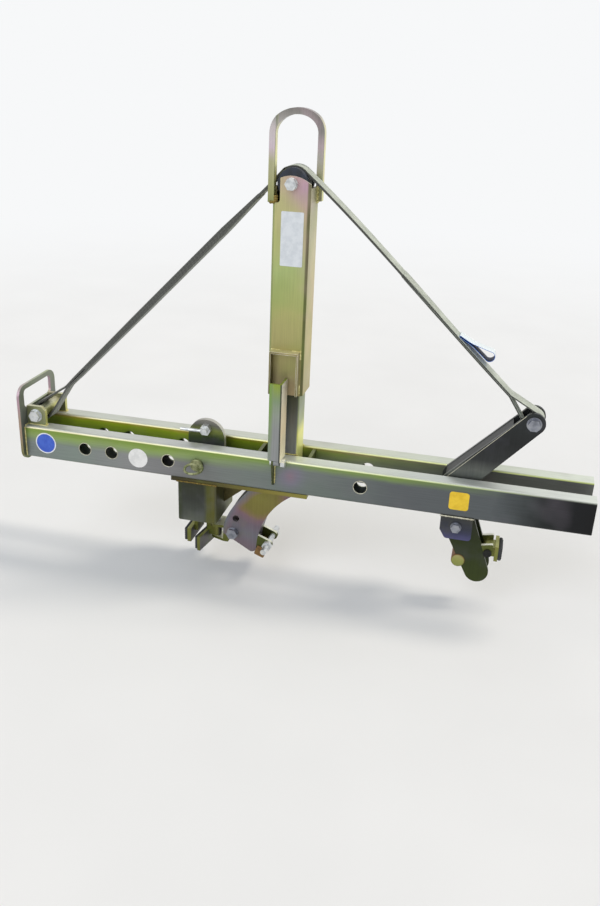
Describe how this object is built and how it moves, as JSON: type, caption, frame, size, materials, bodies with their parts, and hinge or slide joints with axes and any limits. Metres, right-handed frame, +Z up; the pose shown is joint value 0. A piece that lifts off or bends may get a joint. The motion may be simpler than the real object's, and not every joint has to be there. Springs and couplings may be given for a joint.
{
  "type": "manhole ring lifting clamp",
  "caption": "Twin-rail beam clamp hung from a telescopic mast; a strap over a roller pulls a lever whose pads grip a concrete ring from inside.",
  "frame": {"origin": "underside of the crown of the lifting bail, on the mast's axis", "axes": "+X along the beam towards the lever, +Y to the back, +Z up"},
  "size_m": [1.668, 0.2587, 1.2835],
  "materials": {
    "passivated_steel": "yellow passivated zinc plating, satin, with drifting green, gold and pink tints",
    "dark_steel": "dark grey satin plating",
    "bright_zinc": "bright zinc plating",
    "bronze": "turned bronze",
    "guide_plastic": "machined polyamide",
    "roller_plastic": "turned polyamide",
    "webbing": "woven polyester webbing",
    "tag_tape": "coated tape, blank",
    "pad_rubber": "moulded rubber",
    "buffer_rubber": "moulded natural rubber"
  },
  "bodies": {
    "mast": {"mast_tube": "passivated_steel", "lifting_bail": "passivated_steel", "latch_pocket": "passivated_steel", "mast_guide_bush": "guide_plastic", "roller_bush": "bronze", "roller_axle_bolt": "bright_zinc", "roller_axle_nut": "bright_zinc"},
    "beam": {"front_rail": "passivated_steel", "rear_rail": "passivated_steel", "inner_post": "passivated_steel", "post_guide_shoe": "guide_plastic", "beam_spacers": "passivated_steel", "end_plate": "passivated_steel", "anchor_lugs": "passivated_steel", "anchor_sleeve": "bright_zinc", "anchor_bolt": "bright_zinc", "frame_nuts": "bright_zinc", "carriage_plate": "passivated_steel", "carriage_box": "passivated_steel", "carriage_web": "passivated_steel", "carriage_gusset": "passivated_steel", "carriage_screw": "bright_zinc", "foot_hanger": "passivated_steel", "foot_bar": "passivated_steel", "foot_rubber": "pad_rubber", "grip_arm": "passivated_steel", "arm_web_strip": "passivated_steel", "arm_bolt": "bright_zinc", "arm_shelf": "passivated_steel", "arm_pad_pin": "bright_zinc", "stop_ears": "passivated_steel", "stop_rod": "bright_zinc", "stop_buffer": "buffer_rubber", "pivot_brackets": "passivated_steel", "pivot_bush": "bronze", "pivot_spacers": "bright_zinc", "pivot_bolt": "bright_zinc", "prop_lug": "passivated_steel", "prop_pin": "bright_zinc"},
    "lever": {"lever_front_plate": "dark_steel", "lever_rear_plate": "dark_steel", "lever_web": "dark_steel", "lever_sleeve": "bright_zinc", "lever_bolt": "bright_zinc", "lever_nut": "bright_zinc", "jaw_ears": "passivated_steel", "jaw_pad_pin": "bright_zinc", "jaw_buffer": "bright_zinc"},
    "jaw_pad": {"jaw_pad_bar": "passivated_steel", "jaw_pad_rubber": "pad_rubber"},
    "arm_pad": {"arm_pad_bar": "passivated_steel", "arm_pad_rubber": "pad_rubber"},
    "prop": {"prop_strut": "passivated_steel"},
    "lock_pin": {"lock_pin": "bright_zinc"},
    "roller": {"strap_roller": "roller_plastic"},
    "strap_left": {"strap_left_run": "webbing"},
    "strap_left_end": {"strap_left_eye": "webbing"},
    "strap_right": {"strap_right_run": "webbing"},
    "strap_right_end": {"strap_right_eye": "webbing", "strap_tag": "tag_tape"}
  },
  "joints": [
    {"name": "beam_slide", "type": "slide", "parent": "mast", "child": "beam", "axis": [0, 0, 1], "range_m": [0, 0.07]},
    {"name": "lever_turn", "type": "hinge", "parent": "beam", "child": "lever", "pos_m": [0.511, 0, -1.042], "axis": [0, 1, 0], "range_deg": [0, 15.6]},
    {"name": "roller_turn", "type": "hinge", "parent": "mast", "child": "roller", "pos_m": [0, 0, -0.164], "axis": [0, 1, 0], "range_deg": [0, 76]},
    {"name": "strap_left_swing", "type": "hinge", "parent": "mast", "child": "strap_left", "pos_m": [0, 0, -0.164], "axis": [0, 1, 0], "range_deg": [0, 2.9]},
    {"name": "strap_left_shift", "type": "slide", "parent": "strap_left", "child": "strap_left_end", "axis": [0.701, 0, 0.7131], "range_m": [0, 0.048]},
    {"name": "strap_right_swing", "type": "hinge", "parent": "mast", "child": "strap_right", "pos_m": [0, 0, -0.164], "axis": [0, 1, 0], "range_deg": [-4, 0]},
    {"name": "strap_right_shift", "type": "slide", "parent": "strap_right", "child": "strap_right_end", "axis": [0.736, 0, -0.677], "range_m": [0, 0.052]},
    {"name": "jaw_pad_swivel", "type": "hinge", "parent": "lever", "child": "jaw_pad", "pos_m": [0.606, 0, -1.138], "axis": [0, 1, 0], "range_deg": [-8, 8]},
    {"name": "arm_pad_swivel", "type": "hinge", "parent": "beam", "child": "arm_pad", "pos_m": [-0.213, 0, -1.21], "axis": [0, 0, 1], "range_deg": [-9, 16]},
    {"name": "prop_fold", "type": "hinge", "parent": "beam", "child": "prop", "pos_m": [0, -0.102, -0.915], "axis": [1, 0, 0], "range_deg": [0, 95]},
    {"name": "lock_pin_pull", "type": "slide", "parent": "beam", "child": "lock_pin", "axis": [0, -1, 0], "range_m": [0, 0.19]}
  ],
  "couplings": [
    {"joint": "lever_turn", "follows": "beam_slide", "rad_per_m": 3.8589},
    {"joint": "roller_turn", "follows": "beam_slide", "rad_per_m": 18.7},
    {"joint": "strap_left_swing", "follows": "beam_slide", "rad_per_m": 0.6961},
    {"joint": "strap_left_shift", "follows": "beam_slide", "ratio": 0.6705},
    {"joint": "strap_right_swing", "follows": "beam_slide", "rad_per_m": -0.9827},
    {"joint": "strap_right_shift", "follows": "beam_slide", "ratio": 0.7283}
  ]
}
